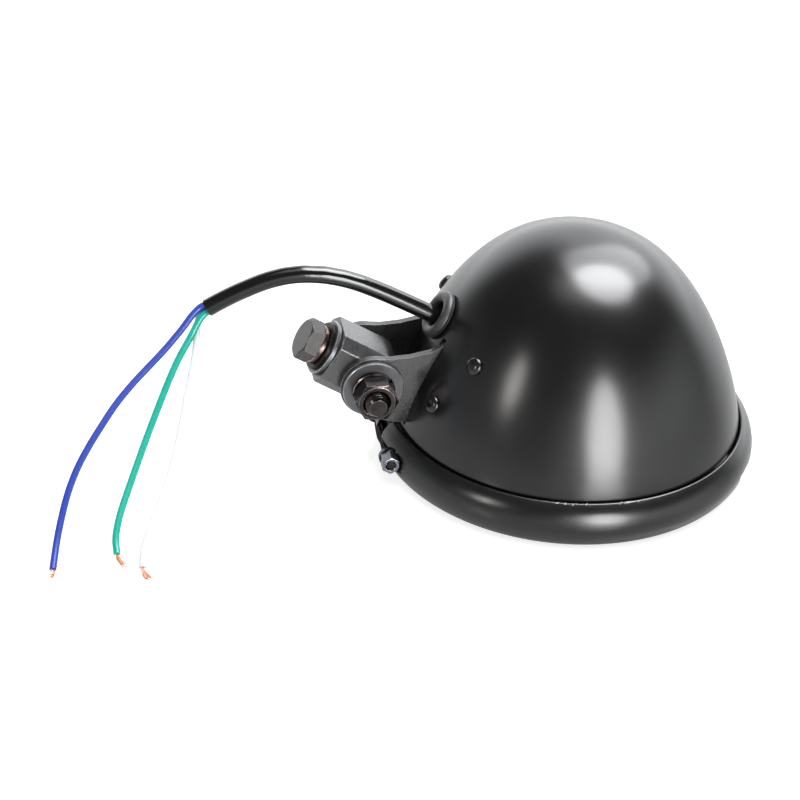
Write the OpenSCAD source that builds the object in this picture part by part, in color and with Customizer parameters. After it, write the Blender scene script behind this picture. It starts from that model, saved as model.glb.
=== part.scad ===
/*
Round motorcycle headlight, five and three quarter inch class, lying on its rim with the lens down.
A spun steel bucket is closed by a lens and reflector unit that a split trim ring holds.
Two stamped ears are riveted inside the bucket and carry a swivelling block with the mounting bolt.
The lead leaves through a rubber grommet and ends in three bare wires.
Millimetres. The lamp's axis is Z, the origin lies on it in the plane of the ring's front edge.
*/

/* [Bucket] */
// Outer radius of the bucket where it leaves the trim ring
shell_radius = 74.6; // [72:0.1:78]
// Depth of the dome behind the trim ring
shell_depth = 81.7; // [70:0.1:95]
// Exponent that sets how fast the dome narrows
shell_narrow = 0.79; // [0.7:0.01:0.9]
// Exponent that sets how fast the dome rises
shell_rise = 1.596; // [1.4:0.002:1.8]
// Sheet thickness of the bucket
shell_wall = 1.2; // [0.8:0.1:1.6]
// Width of the flange that the light unit rests on
flange_width = 2; // [1.8:0.1:3]

/* [Trim ring] */
// Gap between the bucket and the hem along the ring's rear edge
ring_gap = 0.85; // [0.5:0.05:1.5]
// Radius of the ring's rounded section
ring_bead = 12.4; // [11.5:0.1:13.5]
// Height of the fullest part of the ring above its front edge
ring_mid_z = 11; // [10.5:0.1:12]
// Height of the ring's rear edge
ring_back_z = 20.6; // [19:0.1:21]
// Radius of the hem rolled along the rear edge
ring_hem = 0.9; // [0.6:0.05:1.1]
// Sheet thickness of the ring
ring_wall = 1.2; // [0.8:0.1:1.5]
// Width of the lens rim that the ring's front lip covers
lip_cover = 5.8; // [4:0.1:8]
// Height of the front lip's turned in edge
ring_lip_z = 6; // [5:0.1:7]
// Width of the split in the ring
split_gap = 9; // [5:0.5:12]
// Sideways place of the split
split_y = -4; // [-5:0.5:5]
// Length of the drain opening in the bead
drain_length = 16; // [8:0.5:24]
// Height of the drain opening's upper edge
drain_top = 11.2; // [6:0.1:14]
// Direction of the drain opening round the lamp
drain_angle = -29; // [-60:1:60]

/* [Ring screw] */
// Thread diameter of the ring screw
ring_screw_d = 4; // [3:0.5:5]
// Distance of the ring screw inside the bead's fullest part
screw_inset = 2; // [0:0.1:2.5]
// Height of the ring screw
ring_screw_z = 11.5; // [10.5:0.1:12.5]
// Thickness of the two lugs that the screw pulls together
lug_t = 2; // [1.5:0.1:3]
// Distance from a lug's inner face to the split's edge
lug_setback = 11.5; // [4:0.1:13]
// Length of the ring screw's tall nut
ring_nut_h = 6.5; // [5:0.5:11]
// Width across flats of the tall nut
ring_nut_af = 7; // [6:0.5:8]

/* [Light unit] */
// Thickness of the lens
lens_t = 3; // [2.5:0.1:3.6]
// Play between the lens and the outside of the bucket's flange
lens_play = 0.8; // [0.5:0.1:2]
// Depth of the lens's outward curve
lens_bulge = 5.4; // [3:0.1:5.6]
// Height of the flutes on the lens's inner face
flute_h = 0.9; // [0.5:0.1:1.5]
// Distance between flutes
flute_pitch = 9; // [8:0.5:14]
// Thickness of the rubber gasket
gasket_t = 1.2; // [0.8:0.1:2]
// Sheet thickness of the reflector
reflector_t = 1; // [0.8:0.1:1.5]
// Depth of the reflector's paraboloid
reflector_depth = 46; // [40:0.5:50]
// Width of the rim that clamps the gasket and the reflector
rim_width = 6.3; // [5:0.1:8]
// Radius of the hole for the bulb
bulb_hole = 19; // [17:0.5:20]
// Radius of the bulb's glass
bulb_r = 8; // [6:0.5:9]
// Height of the bulb's cap
cap_h = 8; // [6:0.5:10]
// Width of the connector's square housing
connector_side = 20; // [18:0.5:24]
// Height of the connector's housing
connector_h = 16.3; // [14:0.1:20]

/* [Bracket] */
// Sheet thickness of the ears
ear_t = 3; // [2:0.1:4]
// Play between the pivot block and each ear
block_play = 0.25; // [0.1:0.05:0.5]
// Radius of an ear's round end
ear_end = 13.6; // [13:0.1:15]
// Distance of the pivot outside the bucket's side
pivot_reach = 12.4; // [11:0.1:20]
// Height of the pivot
pivot_z = 42.6; // [40:0.1:46]
// Diameter of the rivet heads
rivet_head = 7.6; // [6:0.1:9]
// Diameter of the rivet shanks
rivet_d = 4; // [3:0.1:5]

/* [Pivot block] */
// Angle of the block above the horizontal
block_angle = 30; // [0:1:45]
// Width and height of the block
block_side = 25; // [22:0.1:25]
// Length of the block from the pivot to its front face
block_length = 20.4; // [18:0.1:24]
// Chamfer along the block's four long edges
block_chamfer = 4.5; // [3:0.1:6]

/* [Bolts] */
// Thread diameter of the pivot bolt and the mounting bolt
bolt_d = 10; // [8:0.5:10]
// Width across flats of the bolt heads and the nut
bolt_af = 16; // [14:0.5:17]
// Thickness of the bolt heads
head_h = 6.4; // [5:0.1:7]
// Height of the pivot nut
nut_h = 8.4; // [7:0.1:10]
// Outer diameter of the pivot's flat washers
pivot_washer_od = 25.5; // [22:0.5:26]
// Thickness of the pivot's flat washers
pivot_washer_t = 2; // [1.5:0.1:2.5]
// Outer diameter of the spring washers
spring_washer_od = 18; // [16:0.5:19]
// Thickness of the spring washers
spring_washer_t = 2.2; // [1.8:0.1:2.6]
// Outer diameter of the black washer on the mounting bolt
black_washer_od = 21; // [19:0.5:23]
// Thickness of the black washer
black_washer_t = 1.8; // [1.2:0.1:2.4]
// Outer diameter of the wide washer on the block's face
wide_washer_od = 24; // [22:0.5:25]
// Thickness of the wide washer
wide_washer_t = 1.9; // [1.2:0.1:2.4]

/* [Lead] */
// Outer diameter of the grommet
grommet_od = 21; // [18:0.5:24]
// Bore of the grommet
grommet_bore = 10.5; // [9.5:0.1:11]
// Height of the grommet's centre on the dome
grommet_z = 67.2; // [66:0.1:68.5]
// Diameter of the lead's sheath
sheath_d = 7.4; // [6.5:0.1:7.6]
// Diameter of the three wires
wire_d = 2.8; // [2.2:0.1:3]
// Diameter of the bare copper ends
copper_d = 1.8; // [1.2:0.1:2]

/* [Hidden] */
$fn = 96;

// Clearances
fit = 0.3;
run = 0.05;
skin = 0.15;
over = 1;

// Bucket
shell_base_z = 21.2;
flange_radius = shell_radius + flange_width;
lens_radius = flange_radius - lens_play;
ring_lip_radius = lens_radius - lip_cover;
reflector_mouth = lens_radius - rim_width;
dome_steps = 18;
last_ring = 87.5;
apex = 90;

function dome_r(t) = t >= apex ? 0 : shell_radius * pow(cos(t), shell_narrow);
function dome_z(t) = shell_base_z + shell_depth * pow(sin(t), shell_rise);
function dome_t(z) = asin(pow((z - shell_base_z) / shell_depth, 1 / shell_rise));
function dome_tilt(t) = t <= 0 ? 0 : t >= apex ? 90 :
  atan2(shell_radius * shell_narrow * pow(cos(t), shell_narrow - 1) * sin(t),
    shell_depth * shell_rise * pow(sin(t), shell_rise - 1) * cos(t));
function dome_point(t, depth) =
  [max(0, dome_r(t) - depth * cos(dome_tilt(t))), dome_z(t) - depth * sin(dome_tilt(t))];
dome_angles = concat([for (i = [0:dome_steps - 1]) i * last_ring / dome_steps], [last_ring, apex]);
function reversed(list) = [for (i = [len(list) - 1:-1:0]) list[i]];

// Light unit stack, from the ring's lip to the bucket's flange
lens_z = ring_lip_z + skin;
gasket_z = lens_z + lens_t;
rim_z = gasket_z + gasket_t;
flange_z = rim_z + reflector_t;
skirt_z = flange_z + shell_wall;

// Trim ring section
bead_steps = 12;
bead_top = asin(min(1, (ring_back_z - ring_mid_z) / ring_bead));
bead_foot = -asin(min(1, ring_mid_z / ring_bead));
hem_r = shell_radius + ring_gap + ring_hem;
bead_r = hem_r + ring_wall / 2 - ring_bead * cos(bead_top);
ring_radius = bead_r + ring_bead;
foot_width = 2.4;
foot_inner = bead_r + ring_bead * cos(bead_foot) - foot_width;
inner_bead = ring_bead - ring_wall;
inner_foot = -asin(min(1, (ring_mid_z - ring_wall) / inner_bead));
drain_low = 1.3;
function arc_point(radius, a) = [bead_r + radius * cos(a), ring_mid_z + radius * sin(a)];
function bead_arc(radius, from, to) =
  [for (i = [0:bead_steps]) arc_point(radius, from + (to - from) * i / bead_steps)];

// Ring screw
ring_screw_x = ring_radius - screw_inset;
near_lug = split_y - split_gap / 2 - lug_setback;
far_lug = split_y + split_gap / 2 + lug_setback;
lug_radius = ring_nut_af / sqrt(3) + skin / 2;
lug_inner = flange_radius + fit;
pocket_radius = lug_radius + 1.1;
pocket_length = ring_nut_h + 2;

// Bracket
pivot_x = shell_radius + pivot_reach;
ear_in = block_side / 2 + block_play;
ear_out = ear_in + ear_t;
inner_skin = shell_wall + skin;
ear_low = ring_back_z + ring_hem + 3.5;
ear_high = pivot_z + 19;
slot_low = ear_low - 1.4;
slot_high = ear_high + 2.3;
rivet_upper = [35.3, pivot_z + 20.3];
rivet_lower = [23.7, pivot_z - 1.6];
rivet_rise = 2.3;

// Block and mounting bolt
shaft_r = bolt_d / 2;
block_r = block_side / 2;
block_front = block_length;
wide_top = block_front + wide_washer_t;
black_top = wide_top + black_washer_t;
spring_top = black_top + spring_washer_t;
tip_gap = 3.2;

// Pivot hardware, measured outwards from the lamp's mid plane
near_washer = ear_out;
near_spring = near_washer + pivot_washer_t;
near_nut = near_spring + spring_washer_t;
bolt_end = near_nut + nut_h + 3.7;
far_head = ear_out + pivot_washer_t;

// Grommet
grommet_t = dome_t(grommet_z);
grommet_neck = 8;

// Reflector and bulb
function bowl_z(r) = rim_z + reflector_depth * (1 - pow(r / reflector_mouth, 2));
bowl_steps = 10;
seat_t = 1.5;
seat_z = bowl_z(bulb_hole) + reflector_t + seat_t;
bulb_flange_t = 1.5;
bulb_seat = seat_z + bulb_flange_t;
bulb_length = 26.4;
collar_low = seat_z - 7;
bulb_low = collar_low - bulb_length;
blade_h = 11;
blade_w = 6;
blade_t = 0.8;
blade_r = 6;
cap_r = bulb_hole - 7;
clip_r = 0.8;
clip_ring = bulb_hole - 1;
boot_top = bulb_seat + cap_h + 3.5;
connector_low = boot_top + fit;

// Lead route, seen along the lamp's mid plane, and the wires' routes down to the floor
sheath_route = [[-56.9, 0, 65.4], [-61.9, 0, 68.4], [-68, 0, 71.8], [-76, 0, 76], [-86, 0, 81],
  [-96, 0, 85.2], [-107, 0, 88], [-119, 0, 88.6], [-130, 0, 86.4], [-141, 0, 81.8], [-149, 0, 77.6],
  [-155, 0, 74]];
tail_route = [[-56.75, 0, 65.3], [-52.7, 0, 62.9], [-48.2, 0, 61.1], [-43.3, 0, 60.3], [-38.3, 0, 60.8],
  [-33.6, 0, 62.7], [-29.3, 0, 65.8], [-25.4, 0, 69.5], [-21.3, 0, 73.2], [-16.8, 0, 75.7],
  [-12.5, 0, 76.4], [-10.3, 0, 76.4]];
blue_route = [[-156.1, 0, 75.55], [-158.3, -0.1, 74.2], [-161.5, -1.8, 71.6], [-166, -5, 67],
  [-173, -10, 61], [-180, -15, 56], [-187, -20, 51], [-194, -26, 45.5], [-200, -32.5, 40],
  [-206, -39.5, 34], [-211, -46, 28], [-215, -53, 21.5], [-218, -60, 14.5], [-220.5, -68.3, 8],
  [-222.6, -78.2, 2]];
blue_tip = [-222.9, -82, 1.1];
green_route = [[-154.68, -1.52, 73.17], [-156.4, -1.7, 72.1], [-158.9, -3.3, 69.5],
  [-162.2, -6.2, 64.3], [-167, -11, 58], [-171, -16, 52], [-175, -22, 45.5], [-179, -28.5, 39],
  [-183, -35.5, 32.5], [-187, -43, 26], [-190.5, -50, 20.5], [-194, -57.5, 15], [-196, -63, 11],
  [-197, -67.5, 7.4], [-196.8, -72.6, 4.1]];
green_tip = [-194.4, -77.5, 1.2];
white_route = [[-154.68, 1.52, 73.17], [-156.5, 1.4, 72], [-158.2, 0.5, 69.9], [-159.1, -1.8, 65.9],
  [-159.9, -5.7, 60.2], [-161.2, -10.3, 54.4], [-163, -15, 48.5], [-165, -20.5, 43],
  [-167, -27, 37], [-169, -33, 32], [-171.5, -40, 26.5], [-174.5, -48, 21.5], [-178, -56, 17],
  [-182, -64, 12.5], [-185.2, -71, 8.6], [-186.8, -76.6, 5.3],
  [-187.2, -81.2, 3]];
white_tip = [-185.4, -86.4, 1.2];

function unit(v) = v / norm(v);
function heading(p, i) = unit(unit(p[min(i + 1, len(p) - 1)] - p[i] + [0, 0, 1e-9])
  * (i < len(p) - 1 ? 1 : 0) + unit(p[i] - p[max(i - 1, 0)] + [0, 0, 1e-9]) * (i > 0 ? 1 : 0));
function ring_at(c, h, radius, sides, across) =
  let (a = unit(cross(h, across)), b = cross(h, a))
  [for (k = [0:sides - 1]) c + radius * (cos(360 * k / sides) * a + sin(360 * k / sides) * b)];

// Bare strands leave a wire's end in the wire's own direction, then bend to their tip
function strand_route(route, tip) =
  let (end = route[len(route) - 1], ahead = heading(route, len(route) - 1))
  [end + run * ahead, end + wire_d / 2 * ahead, tip];

// Tube swept along a route, with flat ends. The route never runs along the direction across.
module tube(route, d, sides, across = [0, 1, 0]) {
  n = len(route);
  points = [for (i = [0:n - 1]) each ring_at(route[i], heading(route, i), d / 2, sides, across)];
  walls = [for (i = [0:n - 2], k = [0:sides - 1])
    [i * sides + k, i * sides + (k + 1) % sides, (i + 1) * sides + (k + 1) % sides,
      (i + 1) * sides + k]];
  start = [for (k = [sides - 1:-1:0]) k];
  finish = [for (k = [0:sides - 1]) (n - 1) * sides + k];
  polyhedron(points = points, faces = concat([start], walls, [finish]), convexity = 6);
}

// Places its children on the dome, with their Z axis along the outward normal
module on_dome(azimuth, z) {
  t = dome_t(z);
  rotate([0, 0, 180 + azimuth])
    translate([dome_r(t), 0, z])
      rotate([0, 90 - dome_tilt(t), 0])
        children();
}

// Places its children on the pivot, with their Z axis towards the lamp's right side
module on_pivot() {
  translate([-pivot_x, 0, pivot_z])
    rotate([90, 0, 0])
      children();
}

// Places its children on the pivot, with their Z axis along the block
module along_block() {
  translate([-pivot_x, 0, pivot_z])
    rotate([0, block_angle - 90, 0])
      children();
}

// Places its children on the ring screw, with their Z axis towards the lamp's right side
module on_screw() {
  translate([-ring_screw_x, 0, ring_screw_z])
    rotate([90, 0, 0])
      children();
}

// Flat washer standing on its lower face
module washer(od, bore, t) {
  difference() {
    cylinder(h = t, d = od);
    translate([0, 0, -over])
      cylinder(h = t + 2 * over, d = bore);
  }
}

// Spring washer with its slanted split
module spring_washer(od, bore, t) {
  difference() {
    washer(od, bore, t);
    rotate([0, 0, 40])
      translate([od / 2, 0, t / 2])
        rotate([25, 0, 0])
          cube([od, 1.2, 4 * t], center = true);
  }
}

// Hexagon with its upper corners turned off, and its lower ones too on a nut
module hexagon(af, h, both) {
  corner = af / sqrt(3);
  land = af / 2 * 0.96;
  drop = (corner - land) * 0.55;
  foot = both ? drop : 0;
  foot_r = both ? land : corner;
  intersection() {
    cylinder(h = h, r = corner, $fn = 6);
    rotate_extrude()
      polygon([[0, 0], [foot_r, 0], [corner, foot], [corner, h - drop], [land, h], [0, h]]);
  }
}

// Threaded shank with a turned point
module shank(d, from, to) {
  point = d * 0.12;
  rotate_extrude()
    polygon([[0, from], [d / 2, from], [d / 2, to - point], [d / 2 - point, to], [0, to]]);
}

// Holes that the rivets pass through, on one side of the lamp
module rivet_holes() {
  for (place = [rivet_upper, rivet_lower])
    on_dome(place[0], place[1])
      translate([0, 0, -3 * ear_t])
        cylinder(h = 4 * ear_t, d = rivet_d + 2 * run, $fn = 32);
}

// One rivet, its domed head on the bucket and its tail inside the ear's flange
module rivet() {
  shank_r = rivet_d / 2;
  head_r = rivet_head / 2;
  tail = -(shell_wall + skin + ear_t + skin);
  tail_r = head_r * 0.8;
  rotate_extrude($fn = 48)
    polygon([[0, tail - 1], [tail_r - 0.5, tail - 1], [tail_r, tail - 0.5], [tail_r, tail],
      [shank_r, tail], [shank_r, 0.02], [head_r, 0.02], [head_r * 0.96, rivet_rise * 0.4],
      [head_r * 0.8, rivet_rise * 0.68], [head_r * 0.5, rivet_rise * 0.9], [0, rivet_rise]]);
}

// Slot in the bucket for one ear
module ear_slot() {
  translate([-pivot_x, -ear_out - fit, slot_low])
    cube([pivot_x * 0.5, ear_t + 2 * fit, slot_high - slot_low]);
}

module shell() {
  outer = [for (t = dome_angles) dome_point(t, 0)];
  inner = [for (t = dome_angles) dome_point(t, shell_wall)];
  inside = shell_radius - shell_wall;
  color("#1c1c1e")
    difference() {
      rotate_extrude()
        polygon(concat([[shell_radius, skirt_z]], outer, reversed(inner),
          [[inside, skirt_z], [inside - shell_wall, flange_z], [flange_radius, flange_z],
            [flange_radius, skirt_z]]));
      for (side = [0, 1])
        mirror([0, side, 0]) {
          ear_slot();
          rivet_holes();
        }
      on_dome(0, grommet_z)
        translate([0, 0, -4])
          cylinder(h = 8, r = grommet_neck + run);
    }
}

// Lug on the ring for the ring screw, between two heights along the screw's axis
module lug(from, to) {
  intersection() {
    on_screw()
      translate([0, 0, from])
        cylinder(h = to - from, r = lug_radius, $fn = 48);
    translate([-2 * ring_radius, -ring_radius, 0])
      cube([2 * ring_radius - lug_inner, 2 * ring_radius, 2 * ring_back_z]);
  }
}

module trim_ring() {
  lip = ring_lip_radius;
  foot_outer = arc_point(ring_bead, bead_foot)[0];
  color("#202022")
    difference() {
      union() {
        difference() {
          union() {
            rotate_extrude()
              polygon(concat(bead_arc(ring_bead, bead_top, bead_foot),
                [[foot_inner, 0], [lip, ring_lip_z - 1.5], [lip, ring_lip_z],
                  [lip + ring_wall, ring_lip_z], [lip + ring_wall, ring_lip_z - 1],
                  [foot_inner + ring_wall * 0.8, ring_wall]],
                bead_arc(inner_bead, inner_foot, bead_top)));
            translate([0, 0, ring_back_z])
              rotate_extrude()
                translate([hem_r, 0])
                  circle(r = ring_hem, $fn = 24);
          }
          on_screw() {
            translate([0, 0, -near_lug + lug_t])
              cylinder(h = pocket_length, r = pocket_radius, $fn = 48);
            translate([0, 0, -far_lug - lug_t - pocket_length])
              cylinder(h = pocket_length, r = pocket_radius, $fn = 48);
          }
          translate([-2 * ring_radius, split_y - split_gap / 2, -over])
            cube([1.5 * ring_radius, split_gap, 2 * ring_back_z]);
          rotate([0, 0, drain_angle])
            translate([shell_radius + fit, -drain_length / 2, drain_low])
              cube([ring_bead, drain_length, drain_top - drain_low]);
        }
        lug(-near_lug, -near_lug + lug_t);
        lug(-far_lug - lug_t, -far_lug);
      }
      on_screw()
        translate([0, 0, -far_lug - lug_t - over])
          cylinder(h = far_lug - near_lug + 2 * lug_t + 2 * over, d = ring_screw_d + 2 * fit,
            $fn = 48);
    }
}

module ring_screw() {
  head_r = ring_screw_d * 0.9;
  head_t = ring_screw_d * 0.66;
  bottom = -far_lug - lug_t;
  color("#3a3836")
    on_screw()
      difference() {
        union() {
          rotate_extrude($fn = 48)
            polygon([[0, bottom - head_t], [head_r * 0.6, bottom - head_t],
              [head_r * 0.9, bottom - head_t * 0.7], [head_r, bottom - head_t * 0.3],
              [head_r, bottom], [0, bottom]]);
          shank(ring_screw_d, bottom - 0.1, -near_lug + lug_t + ring_nut_h - 0.6);
        }
        translate([0, 0, bottom - head_t])
          for (turn = [0, 90])
            rotate([0, 0, turn])
              cube([head_r * 1.1, 1, head_t], center = true);
      }
}

module ring_nut() {
  color("#4a4848")
    on_screw()
      translate([0, 0, -near_lug + lug_t])
        difference() {
          rotate([0, 0, 30])
            hexagon(ring_nut_af, ring_nut_h, false);
          translate([0, 0, -over])
            cylinder(h = ring_nut_h + 2 * over, d = ring_screw_d + 2 * run, $fn = 48);
        }
}

module lens() {
  edge = ring_lip_radius - 2;
  steps = 8;
  front = [for (i = [0:steps]) [edge * i / steps, lens_z - lens_bulge * (1 - pow(i / steps, 2))]];
  back = [for (p = reversed(front)) [p[0], p[1] + lens_t]];
  ribs = floor((edge - 8) / flute_pitch);
  rib_edge = edge - 3;
  rib_face = [for (i = [0:steps]) [rib_edge * i / steps,
    lens_z - lens_bulge * (1 - pow(rib_edge * i / steps / edge, 2))]];
  color("#dfe6ea", 0.6) {
    union() {
      rotate_extrude()
        polygon(concat(front, [[lens_radius, lens_z], [lens_radius, gasket_z]], back));
      intersection() {
        rotate_extrude()
          polygon(concat([for (p = rib_face) [p[0], p[1] + lens_t / 2]],
            [for (p = reversed(rib_face)) [p[0], p[1] + lens_t + flute_h]]));
        for (i = [-ribs:ribs])
          translate([i * flute_pitch - flute_pitch * 0.2, -edge, 0])
            cube([flute_pitch * 0.4, 2 * edge, 4 * lens_t]);
      }
    }
  }
}

module lens_gasket() {
  color("#151515")
    translate([0, 0, gasket_z])
      difference() {
        cylinder(h = gasket_t, r = lens_radius);
        translate([0, 0, -over])
          cylinder(h = gasket_t + 2 * over, r = reflector_mouth);
      }
}

module reflector() {
  seat_r = bulb_hole + 5;
  neck_r = bulb_hole + 3;
  function bowl_r(i, inner) = inner + (reflector_mouth - inner) * i / bowl_steps;
  color("#d8dade")
    rotate_extrude()
      polygon(concat(
        [for (i = [bowl_steps:-1:0]) [bowl_r(i, bulb_hole), bowl_z(bowl_r(i, bulb_hole))]],
        [[bulb_hole, seat_z], [seat_r, seat_z], [seat_r, seat_z - seat_t], [neck_r, seat_z - seat_t]],
        [for (i = [0:bowl_steps]) [bowl_r(i, neck_r), bowl_z(bowl_r(i, neck_r)) + reflector_t]],
        [[lens_radius, flange_z], [lens_radius, rim_z]]));
}

module bulb_glass() {
  color("#e8eef2", 0.5)
    rotate_extrude($fn = 48)
      polygon([[0, bulb_low], [4, bulb_low + 0.6], [6.6, bulb_low + 2.2], [bulb_r, bulb_low + 5],
        [bulb_r, collar_low], [0, collar_low]]);
}

module bulb_base() {
  color("#b9bcc0")
    difference() {
      union() {
        translate([0, 0, seat_z])
          cylinder(h = bulb_flange_t, r = bulb_hole + 2);
        translate([0, 0, collar_low])
          cylinder(h = seat_z - collar_low, r = bulb_r + 3);
        translate([0, 0, bulb_seat])
          cylinder(h = cap_h, r = cap_r);
        for (turn = [0, 90, 180])
          rotate([0, 0, turn])
            translate([blade_r, 0, bulb_seat + cap_h + blade_h / 2])
              cube([blade_t, blade_w, blade_h], center = true);
      }
      translate([0, 0, collar_low - over])
        cylinder(h = 4 + over, r = bulb_r + fit);
    }
}

module bulb_clip() {
  color("#9a9c9e")
    translate([0, 0, bulb_seat + clip_r])
      union() {
        rotate_extrude()
          translate([clip_ring, 0])
            circle(r = clip_r, $fn = 16);
        for (side = [-1, 1])
          translate([clip_ring, side * 4, 0])
            rotate([0, 90, 0])
              cylinder(h = 5, r = clip_r, $fn = 16);
      }
}

module dust_boot() {
  seat_r = bulb_hole + 5;
  low = seat_z - 2;
  color("#161616")
    rotate_extrude()
      polygon([[seat_r + fit, low], [seat_r + fit, low + 3], [seat_r + 1, low + 4.5],
        [seat_r - 1, boot_top - 6], [seat_r - 7, boot_top - 2.5], [seat_r - 9, boot_top],
        [seat_r - 7.5, boot_top], [seat_r - 5.7, boot_top - 1.5], [seat_r + 0.5, boot_top - 5],
        [seat_r + 2.6, low + 4.5],
        [seat_r + 1.8, low]]);
}

module connector() {
  color("#2a2a2c")
    difference() {
      translate([-connector_side / 2, -connector_side / 2, connector_low])
        cube([connector_side, connector_side, connector_h]);
      for (turn = [0, 90, 180])
        rotate([0, 0, turn])
          translate([blade_r, 0, connector_low])
            cube([blade_t + 2 * fit, blade_w + 2 * fit, 2 * (blade_h - 3)], center = true);
    }
}

module lead_tail() {
  color("#141414")
    tube(tail_route, sheath_d, 10);
}

// Outline of an ear's plate between the pivot and the bucket, from behind the layer it is fixed to
module ear_outline() {
  px = -pivot_x;
  pz = pivot_z;
  polygon([[px, pz + ear_end], [px + 7, pz + 13.1], [px + 15.2, pz + 13.9], [px + 23.6, pz + 15.9],
    [px + 29, ear_high], [px + 40, ear_high], [px + 40, pz], [px + 23, pz - 4],
    [px + 19.5, ear_low + 1.8], [px + 14.8, ear_low], [px + 9, ear_low + 0.5],
    [px + 2, pz - 15.3], [px - 4.6, pz - 12.8], [px, pz]]);
  translate([px, pz])
    circle(r = ear_end);
}

// One ear on the lamp's right side: the plate, and the flange turned outwards inside the bucket
module ear() {
  low = dome_t(ear_low + 1);
  high = dome_t(ear_high + 9.4);
  steps = 8;
  layer = [for (i = [0:steps]) low + (high - low) * i / steps];
  depth = inner_skin + ear_t;
  difference() {
    union() {
      difference() {
        translate([0, -ear_in, 0])
          rotate([90, 0, 0])
            linear_extrude(ear_t)
              ear_outline();
        rotate_extrude()
          polygon(concat([[0, dome_z(low) - depth]], [for (t = layer) dome_point(t, depth)],
            [[0, dome_z(high) - depth]]));
      }
      intersection() {
        rotate_extrude()
          polygon(concat([for (t = layer) dome_point(t, inner_skin)],
            [for (t = reversed(layer)) dome_point(t, depth)]));
        translate([-1.1 * shell_radius, 0, pivot_z])
          rotate([90, 0, 90])
            linear_extrude(shell_radius)
              polygon([[-ear_in, ear_low + 2.5 - pivot_z], [-ear_in, 21.9], [-28, 26.4],
                [-38, 26.9], [-42, 23.4], [-42.5, 17.4], [-36, -2.6], [-33, -8.6],
                [-26, ear_low + 5 - pivot_z]]);
      }
    }
    rivet_holes();
    on_pivot()
      translate([0, 0, ear_in - over])
        cylinder(h = ear_t + 2 * over, r = shaft_r + 0.25);
  }
}

module ear_right() {
  color("#3c3c3e")
    ear();
}

module ear_left() {
  color("#3c3c3e")
    mirror([0, 1, 0])
      ear();
}

module rivets() {
  color("#303032")
    for (side = [0, 1], place = [rivet_upper, rivet_lower])
      mirror([0, side, 0])
        on_dome(place[0], place[1])
          rivet();
}

module grommet() {
  outer = grommet_od / 2;
  bore = grommet_bore / 2;
  under = -0.25;
  back = -(shell_wall + 1.1);
  color("#101010")
    on_dome(0, grommet_z)
      rotate_extrude()
        polygon([[bore, 1.6], [bore + 0.7, 2.9], [bore + 2.2, 3.4], [bore + 3.8, 2.7],
          [outer - 0.3, 1.2], [outer, under], [grommet_neck, under], [grommet_neck, back],
          [outer - 0.5, back], [outer - 1, back - 1.8], [bore + 0.6, back - 2], [bore, back - 1.4]]);
}

module pivot_bolt() {
  color("#5a5552")
    on_pivot()
      union() {
        rotate([0, 180, 0])
          translate([0, 0, far_head])
            hexagon(bolt_af, head_h, false);
        shank(bolt_d, -far_head - 0.1, bolt_end);
      }
}

module pivot_washer_right() {
  color("#4a4a4c")
    on_pivot()
      translate([0, 0, near_washer])
        washer(pivot_washer_od, bolt_d + 2 * fit, pivot_washer_t);
}

module pivot_washer_left() {
  color("#4a4a4c")
    on_pivot()
      translate([0, 0, -near_washer - pivot_washer_t])
        washer(pivot_washer_od, bolt_d + 2 * fit, pivot_washer_t);
}

module pivot_lock_washer() {
  color("#4e4644")
    on_pivot()
      translate([0, 0, near_spring])
        spring_washer(spring_washer_od, bolt_d + 2 * fit, spring_washer_t);
}

module pivot_nut() {
  color("#3e3a3a")
    on_pivot()
      translate([0, 0, near_nut])
        difference() {
          rotate([0, 0, 10])
            hexagon(bolt_af, nut_h, true);
          translate([0, 0, -over])
            cylinder(h = nut_h + 2 * over, d = bolt_d + 2 * run);
        }
}

module pivot_block() {
  flat = block_r - block_chamfer;
  color("#8c8c8e")
    difference() {
      along_block()
        intersection() {
          translate([0, 0, -block_r])
            linear_extrude(block_r + block_front)
              polygon([[block_r, flat], [flat, block_r], [-flat, block_r], [-block_r, flat],
                [-block_r, -flat], [-flat, -block_r], [flat, -block_r], [block_r, -flat]]);
          union() {
            translate([0, block_r, 0])
              rotate([90, 0, 0])
                cylinder(h = block_side, r = block_r);
            translate([-block_r, -block_r, 0])
              cube([block_side, block_side, block_front]);
          }
        }
      on_pivot()
        translate([0, 0, -block_r - over])
          cylinder(h = block_side + 2 * over, r = shaft_r + run);
      along_block()
        translate([0, 0, shaft_r + 2.4])
          cylinder(h = block_front, r = shaft_r + run);
    }
}

module mount_bolt() {
  color("#77706b")
    along_block()
      union() {
        translate([0, 0, spring_top])
          hexagon(bolt_af, head_h, false);
        rotate([180, 0, 0])
          shank(bolt_d, -spring_top - 0.1, -(shaft_r + tip_gap));
      }
}

module mount_lock_washer() {
  color("#7a6660")
    along_block()
      translate([0, 0, black_top])
        spring_washer(spring_washer_od - 1, bolt_d + 2 * fit, spring_washer_t);
}

module mount_washer_black() {
  color("#1a1a1a")
    along_block()
      translate([0, 0, wide_top])
        washer(black_washer_od, bolt_d + 2 * fit, black_washer_t);
}

module mount_washer_wide() {
  color("#6a6a6c")
    along_block()
      translate([0, 0, block_front])
        washer(wide_washer_od, bolt_d + 2 * fit, wide_washer_t);
}

module sheath() {
  color("#121212")
    tube(sheath_route, sheath_d, 12);
}

module wire_blue() {
  color("#4b64cd")
    tube(blue_route, wire_d, 8);
}

module wire_green() {
  color("#28c3af")
    tube(green_route, wire_d, 8);
}

module wire_white() {
  color("#f0f0ee")
    tube(white_route, wire_d, 8);
}

module copper_blue() {
  color("#c86e4b")
    tube(strand_route(blue_route, blue_tip), copper_d, 8, [1, 0, 0]);
}

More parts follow.
